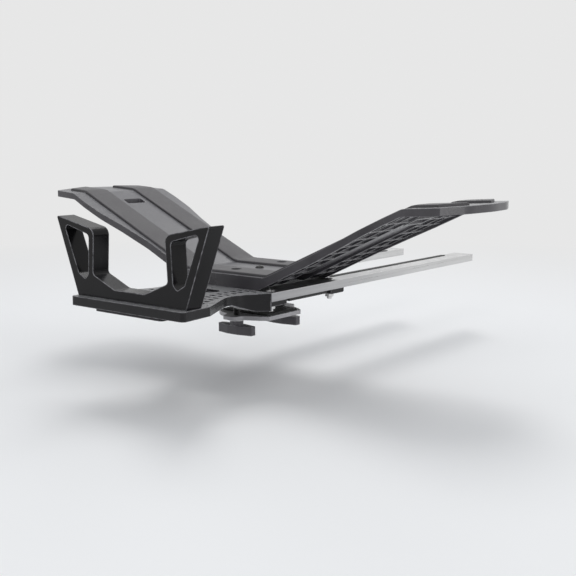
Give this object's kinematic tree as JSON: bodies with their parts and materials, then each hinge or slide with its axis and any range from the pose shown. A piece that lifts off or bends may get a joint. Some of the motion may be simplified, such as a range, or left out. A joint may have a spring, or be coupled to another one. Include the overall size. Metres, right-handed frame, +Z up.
{
  "type": "kayak saddle carrier",
  "caption": "V-shaped kayak saddle for a roof crossbar, with padded wings, strap slots, a clamp beneath and a rear loading tray with looped horns on two long rails.",
  "frame": {"origin": "middle of the crossbar seat, on the crossbar's top face under the saddle", "axes": "+Z up, +X across the vehicle to its right when facing forward, +Y forward along the rails; the loading tray points to -Y"},
  "size_m": [0.6122, 0.629, 0.1656],
  "materials": {
    "saddle_plastic": "black moulded nylon, satin",
    "pad_foam": "dark grey moulded rubber, fine grain",
    "tray_plastic": "black moulded nylon, satin",
    "horn_plastic": "black moulded nylon, lightly polished",
    "rail_metal": "clear anodised, drawn lengthways",
    "liner_rubber": "black ribbed rubber",
    "jaw_plastic": "light grey moulded nylon",
    "plate_steel": "black powder coat",
    "knob_plastic": "grey moulded plastic",
    "bolt_steel": "zinc plated steel",
    "bolt_black": "black coated steel"
  },
  "bodies": {
    "carrier": {"saddle": "saddle_plastic", "rear_pad": "pad_foam", "front_pad": "pad_foam", "loader_tray": "tray_plastic", "horn_bracket": "horn_plastic", "left_rail": "rail_metal", "right_rail": "rail_metal", "left_rail_liner": "liner_rubber", "right_rail_liner": "liner_rubber", "crossbar_liner": "liner_rubber", "rear_bolt": "bolt_black", "front_bolt": "bolt_black", "centre_screw": "bolt_black", "left_rear_rail_bolt": "bolt_steel", "left_rear_rail_nut": "bolt_steel", "left_front_rail_bolt": "bolt_steel", "left_front_rail_nut": "bolt_steel", "right_rear_rail_bolt": "bolt_steel", "right_rear_rail_nut": "bolt_steel", "right_front_rail_bolt": "bolt_steel", "right_front_rail_nut": "bolt_steel", "outer_left_horn_screw": "bolt_steel", "inner_left_horn_screw": "bolt_steel", "inner_right_horn_screw": "bolt_steel", "outer_right_horn_screw": "bolt_steel"},
    "jaw": {"clamp_jaw": "jaw_plastic", "jaw_plate": "plate_steel", "jaw_liner": "liner_rubber", "rear_washer": "bolt_steel", "front_washer": "bolt_steel"},
    "rear_wing_knob": {"rear_knob": "knob_plastic", "rear_knob_nut": "bolt_steel"},
    "front_wing_knob": {"front_knob": "knob_plastic", "front_knob_nut": "bolt_steel"}
  },
  "joints": [
    {"name": "jaw_slide", "type": "slide", "parent": "carrier", "child": "jaw", "axis": [0, 0, -1], "range_m": [0, 0.008]},
    {"name": "rear_knob_turn", "type": "hinge", "parent": "jaw", "child": "rear_wing_knob", "pos_m": [0, -0.043, -0.04], "axis": [0, 0, 1], "continuous": true},
    {"name": "front_knob_turn", "type": "hinge", "parent": "jaw", "child": "front_wing_knob", "pos_m": [0, 0.043, -0.04], "axis": [0, 0, 1], "continuous": true}
  ]
}
